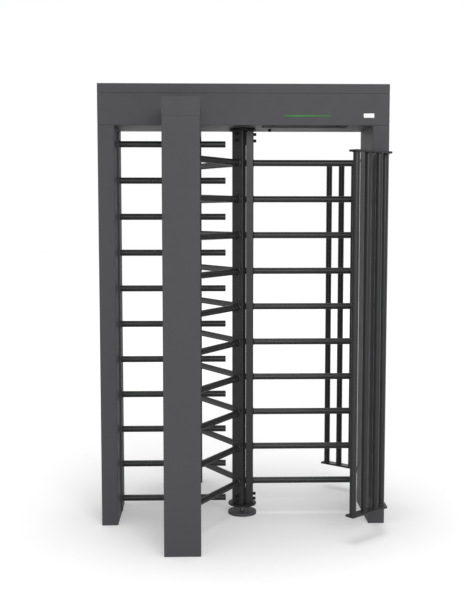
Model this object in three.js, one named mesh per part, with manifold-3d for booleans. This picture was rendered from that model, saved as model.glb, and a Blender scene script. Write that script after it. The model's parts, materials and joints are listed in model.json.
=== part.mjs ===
// Full height turnstile with a three wing rotor, millimetres, +Z up.
// The origin is on the floor, on the rotor's axis. +X runs along the header to the passage side.
import * as THREE from 'three';
import { mergeVertices } from 'three/addons/utils/BufferGeometryUtils.js';
import Module from 'manifold-3d';

const wasm = await Module();
wasm.setup();

// Fits
const fit = 0.3; // gap between touching or running pieces
const overrun = 6; // how far a cut passes the face it opens

// Tube stock, one inch pipe
const tubeDiameter = 33.7;
const tubeWall = 2.6;
const tubeSides = 12;

// Sheet metal frame
const sheet = 2.5;
const bendRadius = 4;
const headerUnderside = 2090;
const headerHeight = 160; // up to the seam under the lid
const lidHeight = 50;
const postWidth = 85;
const frameDepth = 402;
const footPlateThickness = 12;
const anchorHole = 14;
const anchorInset = 22;

// Rotor
const wingCount = 3;
const armReach = 625; // from the axis to the tube tips
const channelWidth = 62.5;
const channelWall = 3;
const channelRadius = 57.7; // from the axis to a channel's outer face
const channelSlit = 3.4; // between neighbouring channels
const armRootGap = 4.3; // between the arms' inner ends
const hubLength = 72;
const flangeThickness = 10;
const topFlangeDiameter = 146;
const bottomFlangeDiameter = 152;
const headerGap = 5; // from the top flange to the header
const shaftDiameter = 40;
const hubChamfer = 2;

// Clearances that place the fixed pieces round the rotor
const postGap = 37.5; // from the arm tips to the posts
const columnGap = 13.4; // from the arm tips to the columns
const combGap = 14.5; // from the bottom flange to the comb bars

// Floor pivot
const floorPlateDiameter = 154;
const floorPlateThickness = 15;
const pivotGap = 37; // open height between floor plate and flange
const pinDiameter = 22;
const bushWall = 6;
const bushFlange = 5;
const floorAnchorHole = 11;

// Columns and the beams over them
const columnWidth = 178;
const columnDepth = 85;
const columnInnerEdge = 222; // from the axis along X
const beamHeight = 88;

// Fixed comb between the left post and the rotor
const combRows = 11;
const combLowestRow = 88.6;
const combTopMargin = 83.4; // from the highest bar to the header
const railWidth = 50;
const railThickness = 8;
const railMargin = 20;
const armRise = 93.6; // from a comb bar up to the next row of arms

// Side guards of upright tubes in front of and behind the right post
const guardTubes = 5;
const guardPitch = 84;
const guardInset = 39.5; // from the post's passage face to the tube line
const guardFirstTube = 56; // from the post's front face to the nearest tube
const guardBendRun = 174.5; // from the post's front face to the bend
const guardBendTube = 54.4; // from the bend to the next tube
const guardEnd = 28; // from the last tube to the plate's free end
const guardPlateWidth = 52;
const guardPlateThickness = 10;
const guardFoot = 138; // underside of the bottom plate
const guardTopDrop = 143; // from the header down to the top plate
const guardTurn = THREE.MathUtils.degToRad(50.3);

// Header lid and its seam
const seamHeight = 3;
const seamInset = 3;
const hemWidth = 6;
const hemHeight = 12;
const caseFlange = 16;

// Status lamp lens in the front and rear of the header
const lensStart = 207;
const lensLength = 243;
const lensHeight = 7;
const lensRise = 48; // from the header's underside to its centre line
const lensProud = 0.5;
const lensLip = 4;
const lensLipThickness = 3;

// Locking mechanism in the header
const bedThickness = 8;
const bedMargin = 10;
const housingFlange = 130;
const housingFlangeThickness = 10;
const housingBody = 100;
const housingHeight = 40;
const bearingDiameter = 80;
const bearingWidth = 18;
const shaftOverhang = 14;
const wheelRadius = 85;
const wheelThickness = 12;
const wheelLift = 6; // from the housing to the wheel
const wheelCollar = 32; // collar radius
const wheelCollarHeight = 10;
const wheelSlots = 12;
const pawlLength = 72; // from its pivot to its nose
const pawlTail = 35; // from its nose to its end
const pawlWidth = 11;
const pawlStandOff = 3;
const pawlBoss = 11;
const noseWidth = 10;
const noseDepth = 12;
const noseSideGap = 3.5;
const noseEndGap = 3;
const pawlPinDiameter = 10;
const pawlSwing = THREE.MathUtils.degToRad(12.5);
const plungerDiameter = 16;
const plungerTip = 8;
const plungerTipLength = 26;
const plungerContact = 25; // from the nose line up to the plunger's axis
const plungerGap = 1.3;
const coilDiameter = 46;
const coilLength = 64;
const coilStandOff = 12;
const bracketThickness = 5;
const bracketWidth = 52;

// Service hatch in the header's underside
const hatchClearance = 25; // from the mechanism's bed to the hatch
const hatchLength = 437;
const hatchDepth = 130;
const hatchFrontInset = 11; // from the header's front face
const hatchSeam = 3;
const hatchFlange = 10;
const hingeRadius = 7;
const hingePin = 6;
const hingeLug = 6;
const hingeLugHeight = 16;
const hingeLugReach = 9;

// Key lock in the header's underside
const keyX = 147;
const keyY = 32;
const keyDiameter = 15;
const keyDrop = 14;
const keyNeck = 11;
const keyCamReach = 20;
const keyCamWidth = 9;
const keyCamThickness = 4;
const keyChamfer = 1.5;

// Control box on the header's floor
const boxLength = 200;
const boxDepth = 110;
const boxHeight = 60;
const boxWall = 2;
const boxStart = 250;
const boxOffset = 85;

// Facets of the round pieces
const discSides = 32;
const smallSides = 16;

// Places worked out from the sizes
const tubeRadius = tubeDiameter / 2;
const wingStep = (2 * Math.PI) / wingCount;
const halfStep = wingStep / 2;
const postInner = armReach + postGap;
const frameWidth = 2 * (postInner + postWidth);
const frontFace = frameDepth / 2;
const caseTop = headerUnderside + headerHeight;
const frameTop = caseTop + lidHeight;
const floorTop = headerUnderside + sheet;
const columnBackFace = Math.sqrt((armReach + columnGap) ** 2 - columnInnerEdge ** 2);
const columnFrontFace = columnBackFace + columnDepth;
const columnX = -(columnInnerEdge + columnWidth / 2);
const rowPitch = (headerUnderside - combTopMargin - combLowestRow) / (combRows - 1);
const combTip = bottomFlangeDiameter / 2 + combGap;
const rotorBottom = floorPlateThickness + pivotGap + flangeThickness;
const rotorTop = headerUnderside - headerGap - flangeThickness;
const channelInner = ((channelWidth / 2) * Math.cos(halfStep) + channelSlit / 2) / Math.sin(halfStep);
const armRoot = tubeRadius / Math.tan(halfStep) + armRootGap;
const guardX = postInner + guardInset;
const guardTop = headerUnderside - guardTopDrop;
const bedBottom = floorTop + fit;
const bedTop = bedBottom + bedThickness;
const housingTop = bedTop + fit + housingHeight;
const wheelBottom = housingTop + wheelLift;
const wheelMiddle = wheelBottom + wheelThickness / 2;
const shaftTop = wheelBottom + wheelThickness + wheelCollarHeight + shaftOverhang;
const pawlPivotX = -(wheelRadius + pawlStandOff);
const bedRight = housingFlange / 2 + bedMargin;
const hatchLeft = bedRight + hatchClearance;
const hatchRight = hatchLeft + hatchLength;
const hingeY = -(frontFace - hatchFrontInset - hatchDepth);
const hingeZ = headerUnderside + hingeRadius;

// Finishes
function finish(color, roughness, metalness) {
  return new THREE.MeshStandardMaterial({ color, roughness, metalness });
}
const finishes = {
  paint: finish(0x4b4c4f, 0.5, 0.2),
  rotorPaint: finish(0x3b3c40, 0.42, 0.25),
  bareSteel: finish(0x9da0a4, 0.35, 1.0),
  zincSteel: finish(0xb0b2ae, 0.45, 0.9),
  bronze: finish(0xa9834d, 0.4, 0.9),
  castIron: finish(0x55585b, 0.6, 0.6),
  blackSteel: finish(0x232427, 0.5, 0.4),
  greenLens: finish(0x2f9a3c, 0.25, 0.0),
  coilWrap: finish(0x6d2c22, 0.5, 0.1),
  greyCase: finish(0x8c8f90, 0.55, 0.1),
};

const turnstile = new THREE.Group();
turnstile.name = 'full_height_turnstile';

function addPiece(name, geometry, material, parent = turnstile) {
  const mesh = new THREE.Mesh(geometry, material);
  mesh.name = name;
  parent.add(mesh);
  return mesh;
}

// Joining and cutting
function toSolid(geometry) {
  const bare = geometry.clone();
  bare.deleteAttribute('normal');
  bare.deleteAttribute('uv');
  const merged = mergeVertices(bare);
  const vertProperties = new Float32Array(merged.attributes.position.array);
  const triVerts = new Uint32Array(merged.index.array);
  return new wasm.Manifold(new wasm.Mesh({ numProp: 3, vertProperties, triVerts }));
}

function fromSolid(solid) {
  const mesh = solid.getMesh();
  const geometry = new THREE.BufferGeometry();
  geometry.setAttribute('position', new THREE.BufferAttribute(mesh.vertProperties, 3));
  geometry.setIndex(new THREE.BufferAttribute(mesh.triVerts, 1));
  geometry.computeVertexNormals();
  return geometry;
}

function join(base, ...pieces) {
  return pieces.reduce((solid, piece) => solid.add(toSolid(piece)), toSolid(base));
}

function cut(solid, ...pieces) {
  return pieces.reduce((rest, piece) => rest.subtract(toSolid(piece)), solid);
}

// Basic forms
function block(x0, x1, y0, y1, z0, z1) {
  const geometry = new THREE.BoxGeometry(x1 - x0, y1 - y0, z1 - z0);
  return geometry.translate((x0 + x1) / 2, (y0 + y1) / 2, (z0 + z1) / 2);
}

function extrude(shape, z0, z1, curveSegments = smallSides / 4) {
  const options = { depth: z1 - z0, bevelEnabled: false, curveSegments };
  return new THREE.ExtrudeGeometry(shape, options).translate(0, 0, z0);
}

function roundedRectangle(width, depth, radius, Type = THREE.Shape) {
  const x = width / 2;
  const y = depth / 2;
  const outline = new Type();
  outline.moveTo(x - radius, -y);
  outline.absarc(x - radius, radius - y, radius, -Math.PI / 2, 0);
  outline.absarc(x - radius, y - radius, radius, 0, Math.PI / 2);
  outline.absarc(radius - x, y - radius, radius, Math.PI / 2, Math.PI);
  outline.absarc(radius - x, radius - y, radius, Math.PI, 1.5 * Math.PI);
  outline.closePath();
  return outline;
}

function roundHole(x, y, diameter) {
  const hole = new THREE.Path();
  hole.absarc(x, y, diameter / 2, 0, 2 * Math.PI);
  return hole;
}

// A revolved solid about Z from [radius, height] pairs, listed from the bottom up on its outside
function revolve(profile, sides) {
  const points = profile.map(([radius, height]) => new THREE.Vector2(radius, height));
  return new THREE.LatheGeometry(points, sides).rotateX(Math.PI / 2);
}

function rod(diameter, z0, z1, sides) {
  const radius = diameter / 2;
  return new THREE.CylinderGeometry(radius, radius, z1 - z0, sides)
    .rotateX(Math.PI / 2)
    .translate(0, 0, (z0 + z1) / 2);
}

function ring(outer, inner, z0, z1, sides) {
  return revolve([[inner / 2, z0], [outer / 2, z0], [outer / 2, z1], [inner / 2, z1], [inner / 2, z0]], sides);
}

// A box section of folded sheet, open at both ends
function boxSection(width, depth, height) {
  const outline = roundedRectangle(width, depth, bendRadius);
  const bore = roundedRectangle(width - 2 * sheet, depth - 2 * sheet, bendRadius - sheet, THREE.Path);
  outline.holes.push(bore);
  return extrude(outline, 0, height, 2);
}

// An anchor plate inside the foot of a box section
function footPlate(width, depth) {
  const x = width / 2 - sheet - fit;
  const y = depth / 2 - sheet - fit;
  const outline = roundedRectangle(2 * x, 2 * y, bendRadius - sheet);
  for (const sideX of [-1, 1]) {
    for (const sideY of [-1, 1]) {
      outline.holes.push(roundHole(sideX * (x - anchorInset), sideY * (y - anchorInset), anchorHole));
    }
  }
  return extrude(outline, 0, footPlateThickness, 2);
}

// Posts under the ends of the header
for (const [side, name] of [[-1, 'left'], [1, 'right']]) {
  const x = side * (postInner + postWidth / 2);
  const post = addPiece(`${name}_post`, boxSection(postWidth, frameDepth, headerUnderside - fit), finishes.paint);
  post.position.x = x;
  const foot = addPiece(`${name}_foot_plate`, footPlate(postWidth, frameDepth), finishes.zincSteel);
  foot.position.x = x;
}

// Columns in front and behind, each with its box beam to the header
function beam() {
  const length = columnFrontFace - frontFace - fit;
  const outline = roundedRectangle(columnWidth, beamHeight - fit, bendRadius);
  const shell = extrude(outline, 0, length, 2);
  const bore = roundedRectangle(columnWidth - 2 * sheet, beamHeight - fit - 2 * sheet, bendRadius - sheet);
  const solid = cut(toSolid(shell), extrude(bore, -overrun, length - sheet, 2));
  return fromSolid(solid).rotateX(Math.PI / 2).translate(0, 0, (beamHeight + fit) / 2);
}
for (const [side, name] of [[1, 'front'], [-1, 'rear']]) {
  const group = new THREE.Group();
  group.position.x = columnX;
  group.position.y = -side * (columnFrontFace - columnDepth / 2);
  turnstile.add(group);
  addPiece(`${name}_column`, boxSection(columnWidth, columnDepth, headerUnderside - fit), finishes.paint, group);
  addPiece(`${name}_foot_plate`, footPlate(columnWidth, columnDepth), finishes.zincSteel, group);
  const arm = addPiece(`${name}_beam`, beam(), finishes.paint);
  arm.position.set(columnX, -side * (frontFace + fit), headerUnderside);
  arm.rotation.z = side > 0 ? 0 : Math.PI;
}

// Header case, an open topped tray with a return flange all round
function headerCase() {
  const x = frameWidth / 2;
  const y = frontFace;
  const tray = extrude(roundedRectangle(2 * x, 2 * y, bendRadius), headerUnderside, caseTop, 2);
  const pocket = block(sheet - x, x - sheet, sheet - y, y - sheet, floorTop, caseTop - sheet);
  const mouth = block(
    caseFlange - x, x - caseFlange, caseFlange - y, y - caseFlange, caseTop - overrun, caseTop + overrun,
  );
  const shaftWay = rod(shaftDiameter + 2 * overrun, headerUnderside - overrun, floorTop + overrun, discSides);
  const keyWay = rod(keyNeck + 2 * fit, headerUnderside - overrun, floorTop + overrun, smallSides)
    .translate(keyX, keyY, 0);
  const hatchWay = block(
    hatchLeft - hatchSeam, hatchRight + hatchSeam,
    hingeY - hatchDepth - hatchSeam, hingeY + hingeRadius + hatchSeam,
    headerUnderside - overrun, floorTop + overrun,
  );
  const lensWays = [-1, 1].map((side) => {
    const slot = roundedRectangle(lensLength + 2 * fit, lensHeight + 2 * fit, lensHeight / 2);
    return extrude(slot, -overrun, overrun, smallSides / 4)
      .rotateX(Math.PI / 2)
      .translate(lensStart + lensLength / 2, side * y, headerUnderside + lensRise);
  });
  let solid = cut(toSolid(tray), pocket, mouth, shaftWay, keyWay, hatchWay, ...lensWays);
  for (const x0 of [hatchLeft - hatchSeam - hingeLug, hatchRight + hatchSeam]) {
    const lug = block(
      x0, x0 + hingeLug, hingeY - hingeLugReach, hingeY + hingeLugReach,
      floorTop - sheet / 2, headerUnderside + hingeLugHeight,
    );
    const eye = rod(hingePin + 2 * fit, x0 - overrun, x0 + hingeLug + overrun, smallSides)
      .rotateY(Math.PI / 2)
      .translate(0, hingeY, hingeZ);
    solid = cut(solid.add(toSolid(lug)), eye);
  }
  return fromSolid(solid);
}
addPiece('header_case', headerCase(), finishes.paint);

// Lift-off lid with a hem that rests on the case and leaves a shadow seam
function headerLid() {
  const x = frameWidth / 2;
  const y = frontFace;
  const skirt = extrude(roundedRectangle(2 * x, 2 * y, bendRadius), caseTop + seamHeight, frameTop, 2);
  const hemX = x - seamInset;
  const hemY = y - seamInset;
  const rest = block(-hemX, hemX, -hemY, hemY, caseTop + fit, caseTop + hemHeight);
  const hemMouthX = x - seamInset - hemWidth;
  const hemMouthY = y - seamInset - hemWidth;
  const mouth = block(-hemMouthX, hemMouthX, -hemMouthY, hemMouthY, caseTop - overrun, caseTop + 2 * hemHeight);
  const pocket = block(sheet - x, x - sheet, sheet - y, y - sheet, caseTop + hemHeight, frameTop - sheet);
  return fromSolid(cut(join(skirt, rest), mouth, pocket));
}
addPiece('header_lid', headerLid(), finishes.paint);

// Comb rail on the left post, with one closed tube for each row
const railFace = railThickness + fit - postInner;
addPiece(
  'comb_rail',
  block(fit - postInner, railFace, -railWidth / 2, railWidth / 2, railMargin, headerUnderside - railMargin),
  finishes.paint,
);

// A tube along Z, open at its foot and closed at its tip
function closedTube(length) {
  const bore = tubeRadius - tubeWall;
  return revolve(
    [[0, length - tubeWall], [bore, length - tubeWall], [bore, 0], [tubeRadius, 0], [tubeRadius, length], [0, length]],
    tubeSides,
  );
}
for (let row = 0; row < combRows; row += 1) {
  const start = railFace + fit;
  const bar = addPiece(
    `comb_bar_${String(row + 1).padStart(2, '0')}`, closedTube(-combTip - start), finishes.paint,
  );
  bar.rotation.y = Math.PI / 2;
  bar.position.set(start, 0, combLowestRow + row * rowPitch);
}

// Side guards: two cranked plates with upright tubes between them
const guardAlong = new THREE.Vector2(-Math.sin(guardTurn), -Math.cos(guardTurn));
function guardPoint(run) {
  const bend = new THREE.Vector2(guardX, -frontFace - guardBendRun);
  if (run <= guardBendRun) {
    return new THREE.Vector2(guardX, -frontFace - run);
  }
  return bend.addScaledVector(guardAlong, run - guardBendRun);
}
const guardRuns = [guardFirstTube, guardFirstTube + guardPitch];
while (guardRuns.length < guardTubes) {
  guardRuns.push(guardBendRun + guardBendTube + (guardRuns.length - 2) * guardPitch);
}
function guardPlate() {
  const half = guardPlateWidth / 2;
  const mitre = half * Math.tan(guardTurn / 2);
  const across = new THREE.Vector2(-guardAlong.y, guardAlong.x).multiplyScalar(half);
  const end = guardPoint(guardRuns[guardTubes - 1] + guardEnd);
  const start = -frontFace - fit;
  const bendY = -frontFace - guardBendRun;
  const outline = new THREE.Shape([
    new THREE.Vector2(guardX + half, start),
    new THREE.Vector2(guardX - half, start),
    new THREE.Vector2(guardX - half, bendY + mitre),
    end.clone().sub(across),
    end.clone().add(across),
    new THREE.Vector2(guardX + half, bendY - mitre),
  ]);
  return extrude(outline, 0, guardPlateThickness);
}
for (const [side, name] of [[1, 'front'], [-1, 'rear']]) {
  const bottomPlate = addPiece(`${name}_guard_bottom_plate`, guardPlate(), finishes.paint);
  bottomPlate.position.z = guardFoot;
  const topPlate = addPiece(`${name}_guard_top_plate`, guardPlate(), finishes.paint);
  topPlate.position.z = guardTop - guardPlateThickness;
  if (side < 0) {
    for (const [plate, base] of [[bottomPlate, guardFoot], [topPlate, guardTop - guardPlateThickness]]) {
      plate.rotation.x = Math.PI;
      plate.position.z = base + guardPlateThickness;
    }
  }
  guardRuns.forEach((run, index) => {
    const place = guardPoint(run);
    const foot = guardFoot + guardPlateThickness + fit;
    const head = guardTop - guardPlateThickness - fit;
    const tube = addPiece(
      `${name}_guard_tube_${index + 1}`,
      ring(tubeDiameter, tubeDiameter - 2 * tubeWall, 0, head - foot, tubeSides),
      finishes.paint,
    );
    tube.position.set(place.x, side * place.y, foot);
  });
}

// Floor plate with its anchor holes, and the pin on which the rotor stands
function floorPlate() {
  const radius = floorPlateDiameter / 2;
  const outline = new THREE.Shape();
  outline.absarc(0, 0, radius, 0, 2 * Math.PI);
  outline.holes.push(roundHole(0, 0, pinDiameter + 2 * fit));
  for (let index = 0; index < wingCount; index += 1) {
    const angle = index * wingStep + halfStep;
    const reach = radius - anchorInset;
    outline.holes.push(roundHole(reach * Math.cos(angle), reach * Math.sin(angle), floorAnchorHole));
  }
  return extrude(outline, 0, floorPlateThickness, discSides / 2);
}
addPiece('floor_plate', floorPlate(), finishes.rotorPaint);
const pinTop = rotorBottom + hubLength - flangeThickness;
addPiece(
  'pivot_pin',
  revolve(
    [
      [0, 0],
      [pinDiameter / 2, 0],
      [pinDiameter / 2, pinTop - hubChamfer],
      [pinDiameter / 2 - hubChamfer, pinTop],
      [0, pinTop],
    ],
    smallSides,
  ),
  finishes.bareSteel,
);

// Rotor wings: a channel with its arms passing through the web
function wing() {
  const half = channelWidth / 2;
  const web = channelRadius - channelWall;
  const outline = new THREE.Shape([
    new THREE.Vector2(channelInner, -half),
    new THREE.Vector2(channelRadius, -half),
    new THREE.Vector2(channelRadius, half),
    new THREE.Vector2(channelInner, half),
    new THREE.Vector2(channelInner, half - channelWall),
    new THREE.Vector2(web, half - channelWall),
    new THREE.Vector2(web, channelWall - half),
    new THREE.Vector2(channelInner, channelWall - half),
  ]);
  let solid = toSolid(extrude(outline, rotorBottom + fit, rotorTop - fit));
  for (let row = 0; row < combRows - 1; row += 1) {
    const z = combLowestRow + armRise + row * rowPitch;
    const outside = rod(tubeDiameter, armRoot, armReach, tubeSides).rotateY(Math.PI / 2).translate(0, 0, z);
    const bore = rod(tubeDiameter - 2 * tubeWall, armRoot - overrun, armReach - tubeWall, tubeSides)
      .rotateY(Math.PI / 2)
      .translate(0, 0, z);
    solid = cut(solid.add(toSolid(outside)), bore);
  }
  return fromSolid(solid);
}
const wingGeometry = wing();
for (let index = 0; index < wingCount; index += 1) {
  const piece = addPiece(`wing_${index + 1}`, wingGeometry, finishes.rotorPaint);
  piece.rotation.z = index * wingStep;
}

// Hubs: a flange disc with a lug for each channel
function hub(flangeDiameter, boreDiameter) {
  const lugHalf = channelWidth / 2 - channelWall - fit;
  const lugEnd = channelRadius - channelWall - fit;
  const flange = revolve(
    [
      [0, 0],
      [flangeDiameter / 2 - hubChamfer, 0],
      [flangeDiameter / 2, hubChamfer],
      [flangeDiameter / 2, flangeThickness],
      [0, flangeThickness],
    ],
    discSides,
  );
  const lugs = [];
  for (let index = 0; index < wingCount; index += 1) {
    const lug = block(0, lugEnd, -lugHalf, lugHalf, flangeThickness / 2, flangeThickness + hubLength);
    lugs.push(lug.rotateZ(index * wingStep));
  }
  const bore = rod(boreDiameter, -overrun, flangeThickness + hubLength + overrun, smallSides);
  return fromSolid(cut(join(flange, ...lugs), bore));
}
const bushDiameter = pinDiameter + 2 * fit + 2 * bushWall;
const bottomHub = addPiece('bottom_hub', hub(bottomFlangeDiameter, bushDiameter + 2 * fit), finishes.rotorPaint);
bottomHub.position.z = rotorBottom - flangeThickness;
const topHub = addPiece('top_hub', hub(topFlangeDiameter, shaftDiameter + 2 * fit), finishes.rotorPaint);
topHub.rotation.x = Math.PI;
topHub.position.z = rotorTop + flangeThickness;

const bushBase = rotorBottom - flangeThickness - fit;
addPiece(
  'bottom_bush',
  revolve(
    [
      [pinDiameter / 2 + fit, bushBase - bushFlange],
      [bushDiameter / 2 + bushFlange, bushBase - bushFlange],
      [bushDiameter / 2 + bushFlange, bushBase],
      [bushDiameter / 2, bushBase],
      [bushDiameter / 2, rotorBottom + hubLength],
      [pinDiameter / 2 + fit, rotorBottom + hubLength],
      [pinDiameter / 2 + fit, bushBase - bushFlange],
    ],
    smallSides,
  ),
  finishes.bronze,
);

addPiece(
  'main_shaft',
  revolve(
    [
      [0, rotorTop - hubLength],
      [shaftDiameter / 2, rotorTop - hubLength],
      [shaftDiameter / 2, shaftTop - hubChamfer],
      [shaftDiameter / 2 - hubChamfer, shaftTop],
      [0, shaftTop],
    ],
    smallSides,
  ),
  finishes.bareSteel,
);

// Plunger axis and its place when the pawl is out, from the leaning back face of the pawl's tail
const pawlBack = -(pawlStandOff + pawlWidth);
const contactRise = pawlLength + plungerContact;
const contactRun = (contactRise - pawlBack * Math.sin(pawlSwing)) / Math.cos(pawlSwing);
const leaningBack = pawlBack * Math.cos(pawlSwing) - contactRun * Math.sin(pawlSwing);
const plungerTipX = pawlPivotX + leaningBack - plungerGap;
const coilRight = plungerTipX - coilStandOff;
const coilLeft = coilRight - coilLength;
const plungerY = plungerContact;

// Mechanism bed on the header's floor
function mechanismBed() {
  const left = coilLeft - bedMargin;
  const deep = pawlLength + pawlBoss + bedMargin;
  const plate = block(left, bedRight, -deep, deep, bedBottom, bedTop);
  const way = rod(shaftDiameter + 2 * overrun, bedBottom - overrun, bedTop + overrun, discSides);
  return fromSolid(cut(toSolid(plate), way));
}
addPiece('mechanism_bed', mechanismBed(), finishes.zincSteel);

const housingBase = bedTop + fit;
const seatRadius = bearingDiameter / 2 + fit;
const throatRadius = seatRadius - 2 * bushWall;
addPiece(
  'bearing_housing',
  revolve(
    [
      [throatRadius, housingBase],
      [housingFlange / 2, housingBase],
      [housingFlange / 2, housingBase + housingFlangeThickness],
      [housingBody / 2, housingBase + housingFlangeThickness],
      [housingBody / 2, housingTop],
      [seatRadius, housingTop],
      [seatRadius, housingTop - bearingWidth - fit],
      [throatRadius, housingTop - bearingWidth - fit],
      [throatRadius, housingBase],
    ],
    discSides,
  ),
  finishes.castIron,
);
addPiece(
  'top_bearing',
  ring(bearingDiameter, shaftDiameter + 2 * fit, housingTop - bearingWidth, housingTop, discSides),
  finishes.bareSteel,
);

// Slotted lock wheel on the shaft
function lockWheel() {
  const disc = rod(2 * wheelRadius, wheelBottom, wheelBottom + wheelThickness, 2 * discSides);
  const collarTop = wheelBottom + wheelThickness + wheelCollarHeight;
  const collar = rod(2 * wheelCollar, wheelBottom + wheelThickness / 2, collarTop, discSides);
  const bore = rod(shaftDiameter + 2 * fit, wheelBottom - overrun, collarTop + overrun, smallSides);
  const slots = [];
  for (let index = 0; index < wheelSlots; index += 1) {
    const half = noseWidth / 2 + noseSideGap;
    const slot = block(
      wheelRadius - noseDepth - noseEndGap, wheelRadius + overrun, -half, half,
      wheelBottom - overrun, wheelBottom + wheelThickness + overrun,
    );
    slots.push(slot.rotateZ((index * 2 * Math.PI) / wheelSlots));
  }
  return fromSolid(cut(join(disc, collar), bore, ...slots));
}
addPiece('lock_wheel', lockWheel(), finishes.bareSteel);

// Pawl on its pivot, drawn engaged and then swung out of the wheel
function lockPawl() {
  const front = -pawlStandOff;
  const tip = pawlStandOff + noseDepth;
  const end = pawlLength + pawlTail;
  const outline = new THREE.Shape();
  outline.moveTo(front, pawlLength - noseWidth / 2);
  outline.lineTo(tip, pawlLength - noseWidth / 2);
  outline.lineTo(tip, pawlLength + noseWidth / 2);
  outline.lineTo(front, pawlLength + noseWidth / 2);
  outline.lineTo(front, end);
  outline.lineTo(pawlBack, end);
  outline.lineTo(pawlBack, 0);
  outline.lineTo(front, 0);
  outline.closePath();
  const lever = extrude(outline, -wheelThickness / 2, wheelThickness / 2);
  const boss = rod(2 * pawlBoss, -wheelThickness / 2, wheelThickness / 2, smallSides);
  const bore = rod(pawlPinDiameter + 2 * fit, -overrun - wheelThickness, overrun + wheelThickness, smallSides);
  return fromSolid(cut(join(lever, boss), bore));
}
const pawl = addPiece('lock_pawl', lockPawl(), finishes.blackSteel);
pawl.position.set(pawlPivotX, -pawlLength, wheelMiddle);
pawl.rotation.z = pawlSwing;
const pawlBottom = wheelBottom - fit;
const pivot = addPiece(
  'pawl_pivot',
  revolve(
    [
      [0, bedTop + fit],
      [pawlPinDiameter, bedTop + fit],
      [pawlPinDiameter, pawlBottom],
      [pawlPinDiameter / 2, pawlBottom],
      [pawlPinDiameter / 2, wheelBottom + wheelThickness + pawlStandOff],
      [0, wheelBottom + wheelThickness + pawlStandOff],
    ],
    smallSides,
  ),
  finishes.bareSteel,
);
pivot.position.set(pawlPivotX, -pawlLength, 0);

// Solenoid on its bracket, and the plunger that swings the pawl
function solenoid() {
  const along = (geometry) => geometry.rotateY(Math.PI / 2).translate(0, plungerY, wheelMiddle);
  const can = along(rod(coilDiameter, coilLeft, coilRight, discSides / 2));
  const base = block(
    coilLeft, coilRight, plungerY - bracketWidth / 2, plungerY + bracketWidth / 2,
    bedTop + fit, bedTop + fit + bracketThickness,
  );
  const cheeks = [coilLeft, coilRight - bracketThickness].map((x) => block(
    x, x + bracketThickness, plungerY - bracketWidth / 2, plungerY + bracketWidth / 2,
    bedTop + fit, wheelMiddle + bracketThickness,
  ));
  const bore = along(rod(plungerDiameter + 2 * fit, coilLeft - overrun, coilRight + overrun, smallSides));
  return fromSolid(cut(join(can, base, ...cheeks), bore));
}
addPiece('solenoid', solenoid(), finishes.coilWrap);
const plunger = addPiece(
  'solenoid_plunger',
  revolve(
    [
      [0, -coilLength],
      [plungerDiameter / 2, -coilLength],
      [plungerDiameter / 2, -plungerTipLength],
      [plungerTip / 2, -plungerTipLength],
      [plungerTip / 2, 0],
      [0, 0],
    ],
    smallSides,
  ),
  finishes.bareSteel,
);
plunger.rotation.y = Math.PI / 2;
plunger.position.set(plungerTipX, plungerY, wheelMiddle);

// Control box on the header's floor, open underneath
function controlBox() {
  const y0 = boxOffset - boxDepth / 2;
  const y1 = boxOffset + boxDepth / 2;
  const top = bedBottom + boxHeight;
  const outside = block(boxStart, boxStart + boxLength, y0, y1, bedBottom, top);
  const inside = block(
    boxStart + boxWall, boxStart + boxLength - boxWall, y0 + boxWall, y1 - boxWall,
    bedBottom - overrun, top - boxWall,
  );
  return fromSolid(cut(toSolid(outside), inside));
}
addPiece('control_box', controlBox(), finishes.greyCase);

// Status lamp lenses, each with a lip behind the sheet
function statusLens() {
  const face = roundedRectangle(lensLength, lensHeight, lensHeight / 2);
  const lip = roundedRectangle(lensLength + 2 * lensLip, lensHeight + 2 * lensLip, lensHeight / 2);
  const lipDepth = sheet + fit;
  return fromSolid(join(
    extrude(face, -lipDepth - lensLipThickness / 2, lensProud),
    extrude(lip, -lipDepth - lensLipThickness, -lipDepth),
  )).rotateX(Math.PI / 2);
}
for (const [side, name] of [[1, 'front'], [-1, 'rear']]) {
  const lens = addPiece(`${name}_status_lens`, statusLens(), finishes.greenLens);
  lens.position.set(lensStart + lensLength / 2, -side * frontFace, headerUnderside + lensRise);
  lens.rotation.z = side > 0 ? 0 : Math.PI;
}

// Service hatch, a shallow pan that hinges down along its rear edge
function serviceHatch() {
  const pan = block(0, hatchLength, -hatchDepth, 0, -hingeRadius, hatchFlange - hingeRadius);
  const hollow = block(
    sheet, hatchLength - sheet, sheet - hatchDepth, overrun, sheet - hingeRadius, hatchFlange + overrun,
  );
  const along = (geometry) => geometry.rotateY(Math.PI / 2);
  const barrel = along(rod(2 * hingeRadius, 0, hatchLength, smallSides));
  const pinEnds = hatchSeam + hingeLug;
  const pins = along(rod(hingePin, -pinEnds, hatchLength + pinEnds, smallSides));
  return fromSolid(cut(toSolid(pan), hollow).add(toSolid(barrel)).add(toSolid(pins)));
}
const hatch = addPiece('service_hatch', serviceHatch(), finishes.blackSteel);
hatch.position.set(hatchLeft, hingeY, hingeZ);

// Key lock with its cam inside the header
function keyLock() {
  const camBottom = floorTop + fit;
  const barrel = revolve(
    [
      [0, headerUnderside - keyDrop],
      [keyDiameter / 2 - keyChamfer, headerUnderside - keyDrop],
      [keyDiameter / 2, headerUnderside - keyDrop + keyChamfer],
      [keyDiameter / 2, headerUnderside - fit],
      [keyNeck / 2, headerUnderside - fit],
      [keyNeck / 2, camBottom + keyCamThickness],
      [0, camBottom + keyCamThickness],
    ],
    smallSides,
  );
  const cam = block(-keyCamWidth / 2, keyCamReach, -keyCamWidth, keyCamWidth, camBottom, camBottom + keyCamThickness);
  return fromSolid(join(barrel, cam));
}
const keyPiece = addPiece('key_lock', keyLock(), finishes.blackSteel);
keyPiece.position.set(keyX, keyY, 0);

export default turnstile;
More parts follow.
